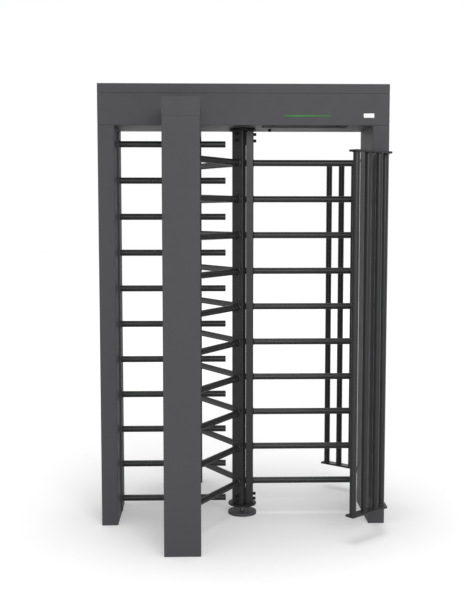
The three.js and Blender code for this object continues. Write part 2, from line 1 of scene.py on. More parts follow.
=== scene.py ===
import json
from math import asin, atan2, copysign, cos, pi, radians, sin, tan, tau

import bmesh
import bpy
from mathutils import Matrix, Vector

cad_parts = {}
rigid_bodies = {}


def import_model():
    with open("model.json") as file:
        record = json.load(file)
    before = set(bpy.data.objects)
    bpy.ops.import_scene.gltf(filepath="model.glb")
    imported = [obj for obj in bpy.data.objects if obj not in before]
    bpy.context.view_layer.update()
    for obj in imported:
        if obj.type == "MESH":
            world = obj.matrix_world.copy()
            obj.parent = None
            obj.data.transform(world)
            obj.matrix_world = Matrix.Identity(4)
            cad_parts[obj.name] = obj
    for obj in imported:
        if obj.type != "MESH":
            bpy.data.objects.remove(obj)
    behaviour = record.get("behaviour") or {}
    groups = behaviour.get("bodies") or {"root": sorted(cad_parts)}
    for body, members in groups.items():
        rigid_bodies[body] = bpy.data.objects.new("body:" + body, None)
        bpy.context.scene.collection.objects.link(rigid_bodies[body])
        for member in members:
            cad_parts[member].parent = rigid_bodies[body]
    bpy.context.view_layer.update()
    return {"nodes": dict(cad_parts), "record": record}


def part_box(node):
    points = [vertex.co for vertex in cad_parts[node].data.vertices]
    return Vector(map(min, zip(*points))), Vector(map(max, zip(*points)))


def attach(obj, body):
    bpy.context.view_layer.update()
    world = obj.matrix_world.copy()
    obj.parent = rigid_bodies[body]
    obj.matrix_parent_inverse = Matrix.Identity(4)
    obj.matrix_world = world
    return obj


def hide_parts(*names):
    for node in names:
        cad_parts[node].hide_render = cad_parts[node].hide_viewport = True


# Full height turnstile, metres, +Z up, origin on the floor on the rotor's axis

for leftover in list(bpy.data.objects):
    bpy.data.objects.remove(leftover)

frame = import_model()
print("frame loaded")

cameraValues = {
    "place": (-0.19368, -5.20047, 1.63817),
    "pitch": 5.082,  # degrees below the horizon
    "yaw": 1.604,  # degrees towards +X
    "lens": 58.05,
    "sensor": 36.0,
    "clipEnd": 60,
}


def newObject(name, data):
    made = bpy.data.objects.new(name, data)
    bpy.context.scene.collection.objects.link(made)
    return made


def addCamera(values):
    camera = newObject("camera", bpy.data.cameras.new("camera"))
    camera.data.lens = values["lens"]
    camera.data.sensor_width = values["sensor"]
    camera.data.clip_end = values["clipEnd"]
    camera.location = values["place"]
    camera.rotation_euler = (radians(90 - values["pitch"]), 0, radians(-values["yaw"]))
    bpy.context.scene.camera = camera


addCamera(cameraValues)
bpy.context.scene.view_settings.view_transform = "Standard"
print("camera set")

# Node helpers


def feed(tree, node, sources):
    # links what is a socket and sets what is a value
    for key, value in sources.items():
        if isinstance(value, bpy.types.NodeSocket):
            tree.links.new(value, node.inputs[key])
        else:
            node.inputs[key].default_value = value


def addNode(tree, kind, sources=None, **settings):
    node = tree.nodes.new(kind)
    for key, value in settings.items():
        setattr(node, key, value)
    feed(tree, node, sources or {})
    return node


def objectPlace(tree, scale=(1, 1, 1)):
    where = addNode(tree, "ShaderNodeTexCoord")
    return addNode(tree, "ShaderNodeMapping", {"Vector": where.outputs["Object"], "Scale": scale}).outputs["Vector"]


def noise(tree, place, scale, detail=3.0):
    sources = {"Vector": place, "Scale": scale, "Detail": detail, "Roughness": 0.55}
    return addNode(tree, "ShaderNodeTexNoise", sources).outputs["Fac"]


def remap(tree, value, low, high, fromLow=0.3, fromHigh=0.7):
    return addNode(tree, "ShaderNodeMapRange", {
        "Value": value, "From Min": fromLow, "From Max": fromHigh, "To Min": low, "To Max": high}).outputs["Result"]


def patches(tree, place, scale, detail=3.0, low=0.0, high=1.0, span=(0.3, 0.7)):
    return remap(tree, noise(tree, place, scale, detail), low, high, *span)


def mixColors(tree, share, first, second):
    return addNode(tree, "ShaderNodeMix", {0: share, 6: first, 7: second}, data_type="RGBA").outputs[2]


def combine(tree, first, second, operation="MULTIPLY"):
    return addNode(tree, "ShaderNodeMath", {0: first, 1: second}, operation=operation).outputs["Value"]


def greyRamp(tree, share, levels):
    # levels by their place from 0 to 1
    ramp = addNode(tree, "ShaderNodeValToRGB", {"Fac": share})
    stops = ramp.color_ramp.elements
    for position, level in levels:
        stop = stops[0] if position == 0 else (stops[-1] if position == 1 else stops.new(position))
        stop.color = (level, level, level, 1.0)
    return ramp.outputs["Color"]


def seenRays(tree):
    # 1 for what the camera sees, straight, mirrored or through glass
    ray = addNode(tree, "ShaderNodeLightPath").outputs
    seen = combine(tree, ray["Is Camera Ray"], ray["Is Glossy Ray"], "MAXIMUM")
    return combine(tree, seen, ray["Is Transmission Ray"], "MAXIMUM")


def opaque(color):
    return tuple(color) + (1.0,)


def shade(color, factor):
    return opaque(min(1.0, channel * factor) for channel in color[:3])


def mottled(tree, share, base, spread):
    return mixColors(tree, share, shade(base, 1 - spread), shade(base, 1 + spread))


def wornEdges(tree, color, base, radius, start, share, tone):
    # the colour with its corners and edges, but not its flat faces, in a lighter tone
    rounded = addNode(tree, "ShaderNodeBevel", {"Radius": radius}, samples=6).outputs["Normal"]
    flat = addNode(tree, "ShaderNodeNewGeometry").outputs["Normal"]
    dot = addNode(tree, "ShaderNodeVectorMath", {0: rounded, 1: flat}, operation="DOT_PRODUCT")
    edges = remap(tree, dot.outputs["Value"], 1.0, 0.0, start, 1.0)
    return mixColors(tree, combine(tree, edges, share), color, shade(base, tone))


def bumped(tree, height, strength, distance=0.0003):
    sources = {"Strength": strength, "Distance": distance, "Height": height}
    return addNode(tree, "ShaderNodeBump", sources).outputs["Normal"]


def waves(tree, scale, distortion):
    sources = {"Vector": objectPlace(tree), "Scale": scale, "Distortion": distortion}
    return addNode(tree, "ShaderNodeTexWave", sources, bands_direction="X").outputs["Fac"]


# Every recipe below gives the sockets of a principled shader

powderShared = {
    "speckScale": 1.7, "speckTone": 1.6, "wearScale": 38.0, "wearTone": 2.1, "wearStart": 0.9, "dust": 0.05,
    "dustScale": 9.0, "dustColor": (0.42, 0.41, 0.39), "glossScale": 14.0, "glossSpread": 0.035, "skinReach": 0.0004,
}


def powderCoat(tree, place, base, values):
    # fine pebbled skin, slow tone drift, thin polished edges and a little dust on what faces up
    values = {**powderShared, **values}
    color = mottled(tree, patches(tree, place, values["driftScale"], 4.0), base, values["drift"])
    speckScale = values["skinScale"] * values["speckScale"]
    speck = patches(tree, place, speckScale, 1.0, 0.0, values["speck"], (0.45, 0.75))
    color = mixColors(tree, speck, color, shade(base, values["speckTone"]))
    wear = patches(tree, place, values["wearScale"], 3.0, 0.0, values["edgeWear"], (0.4, 0.65))
    color = wornEdges(tree, color, base, values["edgeRadius"], values["wearStart"], wear, values["wearTone"])
    normal = addNode(tree, "ShaderNodeNewGeometry").outputs["Normal"]
    facing = addNode(tree, "ShaderNodeSeparateXYZ", {"Vector": normal}).outputs["Z"]
    upward = remap(tree, facing, 0.0, values["dust"], 0.8, 1.0)
    dust = combine(tree, upward, noise(tree, place, values["dustScale"], 6.0))
    low, high = values["roughness"] - values["glossSpread"], values["roughness"] + values["glossSpread"]
    return {
        "Base Color": mixColors(tree, dust, color, opaque(values["dustColor"])),
        "Roughness": patches(tree, place, values["glossScale"], 5.0, low, high),
        "Specular IOR Level": values["specular"],
        "Normal": bumped(tree, noise(tree, place, values["skinScale"], 2.0), values["skinDepth"], values["skinReach"]),
    }


def metalFinish(tree, place, base, values):
    # bare or plated: drawn or turned grain, stains and a soft sheen
    grain = objectPlace(tree, values["grain"])
    streaks = patches(tree, grain, values["grainScale"])
    color = mottled(tree, streaks, base, values["contrast"])
    stains = patches(tree, place, values["stainScale"], 6.0, 0.0, values["stain"], (0.45, 0.75))
    color = mixColors(tree, stains, color, opaque(values["stainColor"]))
    low, high = values["roughness"] - 0.08, values["roughness"] + 0.1
    return {
        "Base Color": wornEdges(tree, color, base, 0.0012, 0.88, 0.35, 1.35),
        "Roughness": patches(tree, grain, values["grainScale"] * 0.6, 4.0, low, high),
        "Metallic": values["metallic"],
        "Normal": bumped(tree, streaks, values["relief"]),
    }


def plainCoat(tree, place, base, values):
    # moulded or painted small parts
    color = mottled(tree, patches(tree, place, 22.0, 4.0), base, 0.05)
    low, high = values["roughness"] - 0.05, values["roughness"] + 0.05
    return {
        "Base Color": wornEdges(tree, color, base, 0.001, 0.9, 0.3, 1.5),
        "Roughness": patches(tree, place, 60.0, 3.0, low, high),
        "Specular IOR Level": values["specular"],
        "Normal": bumped(tree, noise(tree, place, values["skinScale"], 2.0), values["relief"]),
    }


def lampLens(tree, place, base, values):
    # green strip, brightest left of its middle and fading towards both ends
    across = addNode(tree, "ShaderNodeSeparateXYZ", {"Vector": place}).outputs["X"]
    along = greyRamp(tree, remap(tree, across, 0.0, 1.0, *values["ends"]), values["glow"])
    cells = addNode(tree, "ShaderNodeTexVoronoi", {"Vector": place, "Scale": values["cells"]})
    spots = remap(tree, cells.outputs["Distance"], 1.08, 0.86, 0.0, 0.7)
    return {
        "Emission Strength": combine(tree, combine(tree, along, spots), values["strength"]),
        "Emission Color": opaque(values["light"]),
        "Specular IOR Level": 0.1,
        "Base Color": mottled(tree, patches(tree, place, 60.0), base, 0.08),
        "Roughness": patches(tree, place, 90.0, 3.0, 0.2, 0.3),
        "Normal": bumped(tree, waves(tree, values["ribs"], 0.3), 0.12, 0.0002),
    }


def windingWrap(tree, place, base, values):
    # varnished wire round the solenoid, its turns across X
    turns = waves(tree, values["turns"], 0.15)
    return {
        "Base Color": mixColors(tree, turns, shade(base, 0.7), shade(base, 1.15)),
        "Roughness": patches(tree, place, 40.0, 3.0, 0.32, 0.46),
        "Normal": bumped(tree, turns, 0.6, 0.0004),
    }


finishTables = (
    (powderCoat, "color drift driftScale skinScale skinDepth speck edgeRadius edgeWear roughness specular", {
        "paint": ((0.068, 0.068, 0.0725), 0.035, 2.2, 620.0, 0.08, 0.05, 0.0016, 0.22, 0.55, 0.16),
        # rotorPaint is the frame's paint made darker and glossier: its darker colour is painted shade on the rotor,
        # comb bars and guards
        "rotorPaint": ((0.015, 0.015, 0.0161), 0.04, 3.0, 700.0, 0.07, 0.04, 0.0016, 0.3, 0.38, 0.33),
        # the hubs' paint is darker still: painted shade for the hubs under the header and near the floor
        "hubPaint": ((0.014, 0.014, 0.015), 0.04, 3.0, 700.0, 0.07, 0.04, 0.0012, 0.3, 0.5, 0.16),
    }),
    (metalFinish, "color grain grainScale contrast stainScale stain stainColor roughness metallic relief", {
        "zincSteel": ((0.46, 0.47, 0.45), (1, 1, 1), 260.0, 0.07, 30.0, 0.35, (0.36, 0.36, 0.32), 0.4, 0.9, 0.08),
        "bareSteel": ((0.5, 0.51, 0.52), (1, 1, 30), 60.0, 0.09, 40.0, 0.25, (0.3, 0.28, 0.26), 0.3, 1.0, 0.12),
        "bronze": ((0.52, 0.33, 0.13), (1, 1, 24), 60.0, 0.08, 45.0, 0.35, (0.24, 0.15, 0.08), 0.36, 1.0, 0.1),
        "castIron": ((0.12, 0.13, 0.14), (1, 1, 1), 420.0, 0.16, 25.0, 0.3, (0.08, 0.075, 0.07), 0.62, 0.5, 0.6),
        "boltSteel": ((0.1, 0.1, 0.105), (1, 1, 1), 300.0, 0.1, 50.0, 0.3, (0.05, 0.05, 0.05), 0.42, 0.6, 0.12),
        "pinSteel": ((0.21, 0.21, 0.212), (1, 1, 30), 60.0, 0.09, 40.0, 0.25, (0.12, 0.115, 0.11), 0.42, 0.8, 0.12),
    }),
    (plainCoat, "color specular roughness skinScale relief", {
        "blackSteel": ((0.016, 0.0162, 0.0175), 0.04, 0.66, 800.0, 0.12),
        "greyCase": ((0.29, 0.3, 0.305), 0.35, 0.5, 900.0, 0.1),
        "whitePlate": ((0.84, 0.84, 0.84), 0.35, 0.35, 500.0, 0.04),
    }),
    (windingWrap, "color turns", {"coilWrap": ((0.2, 0.045, 0.03), 320.0)}),
    (lampLens, "color light strength cells ribs ends glow", {"greenLens": (
        (0.03, 0.11, 0.03), (0.03, 1.0, 0.05), 0.11, 130.0, 160.0, (0.207, 0.45),
        ((0, 0.35), (0.12, 0.85), (0.3, 1.0), (0.62, 0.75), (1, 0.3)),
    )}),
)


def mixFinish(name, recipe, values):
    material = bpy.data.materials.new(name)
    material.use_nodes = True
    tree = material.node_tree
    tree.nodes.clear()
    sources = recipe(tree, objectPlace(tree), opaque(values["color"]), values)
    shader = addNode(tree, "ShaderNodeBsdfPrincipled", sources)
    addNode(tree, "ShaderNodeOutputMaterial", {"Surface": shader.outputs["BSDF"]})
    return material


finishes = {
    name: mixFinish(name, recipe, dict(zip(columns.split(), row)))
    for recipe, columns, rows in finishTables for name, row in rows.items()
}
print("finishes mixed")

# Mesh helpers

touch = 1e-6  # lengths under this count as none
sharpAngle = radians(32)


def camel(node):
    first, *rest = node.split("_")
    return first + "".join(word.capitalize() for word in rest)


def finishPiece(name, bm, slotName, body="fixed_frame", node=None, finish=None):
    # the finish is the slot's own one unless another is named
    mesh = bpy.data.meshes.new(name)
    for face in bm.faces:
        face.smooth = True
    bm.to_mesh(mesh)
    bm.free()
    mesh.set_sharp_from_angle(angle=sharpAngle)
    mesh.materials.append(finishes[finish or camel(slotName)])
    piece = newObject(name, mesh)
    modifier = piece.modifiers.new("evenShading", "WEIGHTED_NORMAL")
    modifier.keep_sharp = True
    modifier.weight = 90
    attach(piece, body)
    if node:
        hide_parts(node)


def remake(node, bm, slotName, body="fixed_frame", finish=None):
    # a piece that takes a node's place and name
    finishPiece(camel(node), bm, slotName, body, node, finish)


def weld(bm):
    bmesh.ops.remove_doubles(bm, verts=bm.verts[:], dist=0.00001)


def faceOut(bm):
    bmesh.ops.recalc_face_normals(bm, faces=bm.faces[:])


def moved(bm, matrix):
    bmesh.ops.transform(bm, matrix=matrix, verts=bm.verts[:])
    return bm


def shift(x, y, z):
    return Matrix.Translation((x, y, z))


def spin(angle):
    return Matrix.Rotation(angle, 4, "Z")


def placed(place, axis):
    # stands what was made along +Z on a place, along another axis
    turn = Vector((0, 0, 1)).rotation_difference(Vector(axis).normalized())
    return shift(*place) @ turn.to_matrix().to_4x4()


def alongX(x, y, z):
    return placed((x, y, z), (1, 0, 0))


def onCircle(radius, angle):
    return radius * cos(angle), radius * sin(angle)


def stamp(target, source, matrix):
    # pours a copy of one bmesh into another, moved by the matrix
    mesh = bpy.data.meshes.new("stamp")
    source.to_mesh(mesh)
    mesh.transform(matrix)
    target.from_mesh(mesh)
    bpy.data.meshes.remove(mesh)


def pour(target, source, *matrices):
    # stamps a bmesh once for each matrix and frees it
    for matrix in matrices or (Matrix.Identity(4),):
        stamp(target, source, matrix)
    source.free()


def copies(source, matrices):
    bm = bmesh.new()
    pour(bm, source, *matrices)
    return bm


def newVerts(made):
    return [v for v in made["geom"] if isinstance(v, bmesh.types.BMVert)]


def edgesAlong(bm, axis, along=True):
    # the edges that run along an axis, or else those that lie level across it
    return [e for e in bm.edges if (abs(e.verts[0].co[axis] - e.verts[1].co[axis]) > touch) == along]


def edgesAbove(bm, height):
    return [e for e in bm.edges if min(v.co.z for v in e.verts) > height - touch]


def openEdges(bm):
    return [e for e in bm.edges if e.is_boundary]


def sharpEdges(bm):
    return [e for e in bm.edges if e.calc_face_angle(0) > 1]


def bevel(bm, geometry, offset, segments, affect="EDGES"):
    bmesh.ops.bevel(
        bm, geom=list(geometry), offset=offset, segments=segments, profile=0.5, affect=affect, material=-1,
        clamp_overlap=affect == "EDGES",
    )


def thicken(bm, reach):
    # gives the flat faces of a bmesh a thickness
    made = bmesh.ops.extrude_face_region(bm, geom=bm.faces[:])
    bmesh.ops.translate(bm, vec=reach, verts=newVerts(made))
    faceOut(bm)


def cutOut(bm, faces):
    bmesh.ops.delete(bm, geom=faces, context="FACES")


def solidify(bm, wall):
    bmesh.ops.solidify(bm, geom=bm.faces[:], thickness=wall)


def sink(bm, faces, rim, depth, even=False):
    # leaves a rim round the faces and pushes the rest along Z
    bmesh.ops.inset_region(bm, faces=faces, thickness=rim, use_even_offset=even)
    pushed = newVerts(bmesh.ops.extrude_face_region(bm, geom=faces))
    bmesh.ops.delete(bm, geom=faces, context="FACES_ONLY")
    bmesh.ops.translate(bm, vec=(0, 0, depth), verts=pushed)


def blockMesh(low, high, edge=0.0, steps=2):
    low, high = Vector(low), Vector(high)
    bm = bmesh.new()
    bmesh.ops.create_cube(bm, size=1, matrix=Matrix.LocRotScale((low + high) / 2, None, high - low))
    if edge:
        bevel(bm, bm.edges[:], edge, steps)
    return bm


def cylinder(radius, length, sides, foot=0.0):
    bm = bmesh.new()
    bmesh.ops.create_cone(
        bm, cap_ends=True, segments=sides, radius1=radius, radius2=radius, depth=length,
        matrix=shift(0, 0, foot + length / 2),
    )
    return bm


def rodMesh(radius, length, sides, edge, steps=2):
    # a round bar along +Z from the origin, its rims rounded
    bm = cylinder(radius, length, sides)
    bevel(bm, edgesAlong(bm, 2, False), edge, steps)
    return bm


def spunMesh(profile, sides=48):
    # turns a chain of (radius, height) points round Z; a third number cuts that corner off
    corners = []
    for index, (radius, height, *cut) in enumerate(profile):
        corner = Vector((radius, 0, height))
        if cut:
            for other in (profile[index - 1], profile[index + 1]):
                corners.append(corner + (Vector((other[0], 0, other[1])) - corner).normalized() * cut[0])
        else:
            corners.append(corner)
    bm = bmesh.new()
    chain = [bm.verts.new(corner) for corner in corners]
    edges = [bm.edges.new(pair) for pair in zip(chain, chain[1:])]
    bmesh.ops.spin(bm, geom=chain + edges, axis=(0, 0, 1), angle=tau, steps=sides, use_merge=True)
    weld(bm)
    faceOut(bm)
    return bm


def socketBolt(head, height, washer, washerHeight):
    # head along +Z standing on its washer
    bm = rodMesh(washer / 2, washerHeight, 32, 0.0004)
    top = cylinder(head / 2, height, 24, washerHeight)
    bevel(top, edgesAbove(top, washerHeight + height), height * 0.16, 3)
    face = max(top.faces, key=lambda f: f.calc_center_median().z - 0.0001 * len(f.verts))
    sink(top, [face], head * 0.2, -height * 0.5)
    pour(bm, top)
    return bm


def faceAt(bm, point, normal):
    for face in bm.faces:
        if face.normal.dot(normal) > 0.99 and abs((point - face.verts[0].co).dot(face.normal)) < 1e-4:
            if bmesh.geometry.intersect_face_point(face, point):
                return face
    return None


def openWindow(bm, centre, normal, wide, tall, radius, margin, segments=5):
    # cuts an opening with rounded corners in a flat wall that faces Y or Z, its width along X
    centre, normal = Vector(centre), Vector(normal)
    for direction, size in ((Vector((1, 0, 0)), wide), (Vector((0, abs(normal.z), abs(normal.y))), tall)):
        for side in (-1, 1):
            face = faceAt(bm, centre, normal)
            where = centre + direction * side * (size / 2 + margin)
            bmesh.ops.bisect_plane(bm, geom=[face, *face.edges, *face.verts], plane_co=where, plane_no=direction)
    pane = faceAt(bm, centre, normal)
    bmesh.ops.inset_individual(bm, faces=[pane], thickness=margin, use_even_offset=True)
    bevel(bm, faceAt(bm, centre, normal).verts[:], radius, segments, "VERTICES")
    cutOut(bm, [faceAt(bm, centre, normal)])


def openHole(bm, centre, side, size):
    openWindow(bm, centre, (0, 0, side), size, size, size * 0.499, size * 0.45, 8)


def foldedBox(low, high, bend, openLow=True, openHigh=True, axis=2):
    # a folded sheet box section along one axis, its ends open or closed
    bm = blockMesh(low, high)
    bevel(bm, edgesAlong(bm, axis), bend, 5)
    middle = (low[axis] + high[axis]) / 2
    ends = []
    for face in bm.faces:
        spread = [v.co[axis] for v in face.verts]
        if max(spread) - min(spread) < touch and (openLow if spread[0] < middle else openHigh):
            ends.append(face)
    cutOut(bm, ends)
    return bm


# Posts, columns and beams: folded sheet box sections

sheetValues = {"wall": 0.0025, "bend": 0.004}


def boxSection(node, openLow=True, openHigh=True, axis=2):
    bm = foldedBox(*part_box(node), sheetValues["bend"], openLow, openHigh, axis)
    solidify(bm, sheetValues["wall"])
    remake(node, bm, "paint")


for upright in ("left_post", "right_post", "front_column", "rear_column"):
    boxSection(upright)
boxSection("front_beam", openLow=False, axis=1)
boxSection("rear_beam", openHigh=False, axis=1)
print("posts, columns and beams folded")

# Header case, an open topped tray with a return flange

headerValues = {
    "seam": 2.25,  # height of the case's top edge
    "flange": 0.016,
    "underBend": 0.003,
    "lens": {"from": 0.207, "long": 0.243, "tall": 0.007, "gap": 0.0003, "z": 2.138, "margin": 0.006},
    "hatch": {
        "from": 0.097, "to": 0.540, "front": -0.193, "back": -0.050, "hinge": 0.010, "round": 0.002, "margin": 0.003,
    },
    "key": {"x": 0.147, "y": 0.032, "hole": 0.0116},
    "shaftHole": 0.052,
    "hingeLug": {"thick": 0.006, "reach": 0.009, "tall": 0.016, "round": 0.006},
}


def headerCase(values):
    low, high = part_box("header_case")
    wall = sheetValues["wall"]
    bm = foldedBox(low, (high.x, high.y, values["seam"]), sheetValues["bend"], False, False)
    under = [e for e in bm.edges if max(v.co.z for v in e.verts) < low.z + touch]
    bevel(bm, under, values["underBend"], 4)
    lid = max(bm.faces, key=lambda f: f.calc_center_median().z)
    bmesh.ops.inset_region(bm, faces=[lid], thickness=values["flange"], use_even_offset=True)
    cutOut(bm, [lid])
    lens, hatch, key, lug = values["lens"], values["hatch"], values["key"], values["hingeLug"]
    for y, side in ((low.y, -1), (high.y, 1)):
        openWindow(
            bm, (lens["from"] + lens["long"] / 2, y, lens["z"]), (0, side, 0), lens["long"] + 2 * lens["gap"],
            lens["tall"] + 2 * lens["gap"], lens["tall"] / 2, lens["margin"],
        )
    centre = ((hatch["from"] + hatch["to"]) / 2, (hatch["front"] + hatch["back"]) / 2, low.z)
    wide, tall = hatch["to"] - hatch["from"], hatch["back"] - hatch["front"]
    openWindow(bm, centre, (0, 0, -1), wide, tall, hatch["round"], hatch["margin"])
    openHole(bm, (key["x"], key["y"], low.z), -1, key["hole"])
    openHole(bm, (0, 0, low.z), -1, values["shaftHole"])
    solidify(bm, wall)
    hingeY = hatch["back"] - hatch["hinge"]
    top = low.z + lug["tall"]
    for start in (hatch["from"] - lug["thick"], hatch["to"]):
        plate = blockMesh(
            (start, hingeY - lug["reach"], low.z + wall * 0.4), (start + lug["thick"], hingeY + lug["reach"], top))
        alongPlate = edgesAlong(plate, 0)
        bevel(plate, [e for e in edgesAbove(plate, top) if e in alongPlate], lug["round"], 5)
        pour(bm, plate)
    remake("header_case", bm, "paint")


headerCase(headerValues)

# Header lid: shallow folded cover with a hem that stands on the case and leaves a shadow seam

lidValues = {"skirtLow": 2.253, "hemInset": 0.003, "hemWidth": 0.006, "hemTop": 2.262, "topBend": 0.003}


def headerLid(values):
    low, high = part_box("header_lid")
    wall, inset, width = sheetValues["wall"], values["hemInset"], values["hemWidth"]
    bm = foldedBox((low.x, low.y, values["skirtLow"]), high, sheetValues["bend"], True, False)
    bevel(bm, edgesAbove(bm, high.z), values["topBend"], 4)
    for step, height in (
        (inset, values["skirtLow"]), (0.0, low.z), (width, low.z), (0.0, values["hemTop"]),
        (wall - inset - width, values["hemTop"]), (0.0, high.z - wall),
    ):
        for vert in newVerts(bmesh.ops.extrude_edge_only(bm, edges=openEdges(bm))):
            vert.co.x -= copysign(step, vert.co.x)
            vert.co.y -= copysign(step, vert.co.y)
            vert.co.z = height
    bmesh.ops.contextual_create(bm, geom=openEdges(bm))
    weld(bm)
    faceOut(bm)
    remake("header_lid", bm, "paint", "lid")


headerLid(lidValues)
print("header folded")

# Service hatch: black pan on a piano hinge, with two quarter turn latches

hatchValues = {
    "gap": 0.003, "deep": 0.010, "bend": 0.002, "barrel": 0.007, "knuckles": 15, "knuckleGap": 0.0003, "pin": 0.003,
    "latches": (0.12, 0.88), "latch": 0.018, "latchRise": 0.0022, "latchBack": 0.022,
    "slotLow": (-0.0062, -0.0009, 0.0021), "slotHigh": (0.0062, 0.0009, 0.0034),
}


def serviceHatch(values):
    low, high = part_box("service_hatch")
    hole = headerValues["hatch"]
    left, right = hole["from"] + values["gap"], hole["to"] - values["gap"]
    hingeY, hingeZ = hole["back"] - hole["hinge"], low.z + values["barrel"]
    bm = blockMesh((left, low.y, low.z), (right, hingeY, low.z + values["deep"]))
    cutOut(bm, [f for f in bm.faces if f.normal.z > 0.5 or f.normal.y > 0.5])
    bevel(bm, [e for e in bm.edges if len(e.link_faces) == 2], values["bend"], 4)
    solidify(bm, sheetValues["wall"])
    step, gap = (right - left) / values["knuckles"], values["knuckleGap"]
    starts = [left + index * step + gap for index in range(values["knuckles"])]
    knuckle = rodMesh(values["barrel"], step - 2 * gap, 24, 0.0005, 1)
    pour(bm, knuckle, *[alongX(start, hingeY, hingeZ) for start in starts])
    pour(bm, rodMesh(values["pin"], high.x - low.x, 16, 0.0006), alongX(low.x, hingeY, hingeZ))
    remake("service_hatch", bm, "black_steel", "hatch")
    button = rodMesh(values["latch"] / 2, values["latchRise"], 32, 0.0007, 3)
    pour(button, blockMesh(values["slotLow"], values["slotHigh"], 0.0003, 1))
    places = [(left + (right - left) * share, low.y + values["latchBack"], low.z) for share in values["latches"]]
    finishPiece("hatchLatches", copies(button, [placed(place, (0, 0, -1)) for place in places]), "black_steel", "hatch")


serviceHatch(hatchValues)

# Key lock in the header's underside, with a keyway and its cam inside

keyValues = {
    "radius": 0.0075, "neck": 0.0055, "camSide": 0.009, "camThick": 0.004, "plug": 0.0046, "keyway": (0.0012, 0.0075),
}


def keyLock(values):
    low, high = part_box("key_lock")
    x, y = headerValues["key"]["x"], headerValues["key"]["y"]
    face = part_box("header_case")[0].z
    radius, neck = values["radius"], values["neck"]
    bm = moved(spunMesh([
        (0, low.z), (0.0056, low.z), (0.0062, low.z + 0.0003), (radius - 0.0005, low.z + 0.0014),
        (radius, low.z + 0.0024), (radius, face - 0.0012), (radius - 0.0004, face - 0.0003), (neck, face - 0.0003),
        (neck, high.z, 0.0005), (0, high.z),
    ], 40), shift(x, y, 0))
    side = values["camSide"]
    pour(bm, blockMesh((low.x + 0.003, y - side, high.z - values["camThick"]), (high.x, y + side, high.z), 0.0008))
    remake("key_lock", bm, "black_steel", "key")
    wide, long = values["keyway"]
    plug = rodMesh(values["plug"], 0.0008, 32, 0.0003)
    pour(plug, blockMesh((-wide / 2, -long / 2, 0.0007), (wide / 2, long / 2, 0.0010), 0.0001, 1))
    finishPiece("keyPlug", moved(plug, placed((x, y, low.z), (0, 0, -1))), "zinc_steel", "key")


keyLock(keyValues)

# Status lamp strips in the front and rear of the header, each with a lip behind the sheet

lampValues = {
    "proud": 0.0005, "depth": 0.0038, "round": 0.0005, "endRound": 0.44,
    "lip": (0.004, 0.0015, 0.0075), "lipBack": 0.0043,
}


def statusLamp(name, node, side, values):
    lens = headerValues["lens"]
    face = side * abs(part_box("header_case")[0].y)
    corner = Vector((lens["long"], values["depth"], lens["tall"])) / 2
    bm = blockMesh(-corner, corner)
    bevel(bm, edgesAlong(bm, 1), lens["tall"] * values["endRound"], 8)
    outer = [e for e in bm.edges if all(v.co.y * side > values["depth"] * 0.499 for v in e.verts)]
    bevel(bm, outer, values["round"], 2)
    left, z = lens["from"], lens["z"]
    bm = moved(bm, shift(left + lens["long"] / 2, face + side * (values["proud"] - values["depth"] / 2), z))
    over, half, tall = values["lip"]
    lip = blockMesh((left - over, -half, z - tall), (left + lens["long"] + over, half, z + tall), 0.0008)
    pour(bm, lip, shift(0, face - side * values["lipBack"], 0))
    finishPiece(name, bm, "green_lens", node=node)


statusLamp("frontLamp", "front_status_lens", -1, lampValues)
statusLamp("rearLamp", "rear_status_lens", 1, lampValues)

# Bare white plate on the header's front

plateValues = {"low": (0.6139, 2.1293), "high": (0.6679, 2.1506), "thick": 0.0008, "corner": 0.002}


def barePlate(values):
    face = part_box("header_case")[0].y
    (x0, z0), (x1, z1) = values["low"], values["high"]
    bm = blockMesh((x0, face - values["thick"], z0), (x1, face, z1))
    bevel(bm, edgesAlong(bm, 1), values["corner"], 5)
    finishPiece("barePlate", bm, None, finish="whitePlate")


barePlate(plateValues)
print("header fittings in place")

# Tubes with their weld beads, the comb and its rail

tubeValues = {"radius": 0.01685, "wall": 0.0026, "sides": 48, "tip": 0.0022}
beadValues = {"steps": 40, "ripple": 0.12, "waves": 2.1, "under": 0.0006, "foot": -0.0004}
combValues = {"rows": 11, "bead": 0.0042, "railEdge": 0.001}


def tubeMesh(length, values=tubeValues):
    # along +Z, bored from its foot and closed with a rounded welded cap at its tip
    bm = cylinder(values["radius"], length, values["sides"])
    bevel(bm, edgesAbove(bm, length), values["tip"], 4)
    foot = [f for f in bm.faces if max(v.co.z for v in f.verts) < touch]
    sink(bm, foot, values["wall"], length - values["wall"], even=True)
    return bm


def beadMesh(size, values=beadValues):
    # a painted weld bead round a tube, lying on z = 0
    radius, steps, foot = tubeValues["radius"], values["steps"], values["foot"]
    inner = radius - values["under"]
    bm = spunMesh([
        (inner, size), (radius + size * 0.35, size * 0.8), (radius + size * 0.8, size * 0.36),
        (radius + size, foot), (inner, foot), (inner, size),
    ], steps)
    for vert in bm.verts:
        reach = vert.co.xy.length
        if reach > radius + size * 0.1:
            step = round(atan2(vert.co.y, vert.co.x) * steps / tau)
            wave = 1 + values["ripple"] * size / reach * sin(step * values["waves"])
            vert.co.x *= wave
            vert.co.y *= wave
    return bm


def combBars(values):
    remake("comb_rail", blockMesh(*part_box("comb_rail"), values["railEdge"]), "paint")
    bead = beadMesh(values["bead"])
    for row in range(1, values["rows"] + 1):
        node = f"comb_bar_{row:02d}"
        low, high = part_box(node)
        bm = tubeMesh(high.x - low.x)
        stamp(bm, bead, spin(row * 1.3))
        # the comb bars take the darker copy of the paint, as painted shade
        remake(node, moved(bm, alongX(low.x, 0, (low.z + high.z) / 2)), "paint", finish="rotorPaint")
    bead.free()


combBars(combValues)
print("comb welded up")

# Side guards: cranked flat plates with upright tubes between them

guardValues = {
    "line": 0.702, "bendRun": 0.1745, "turn": radians(50.3), "width": 0.052, "round": 0.0012, "corner": 0.004,
    "bead": 0.0038, "firstTube": 0.056, "pitch": 0.084, "bendTube": 0.0544, "end": 0.028,
}


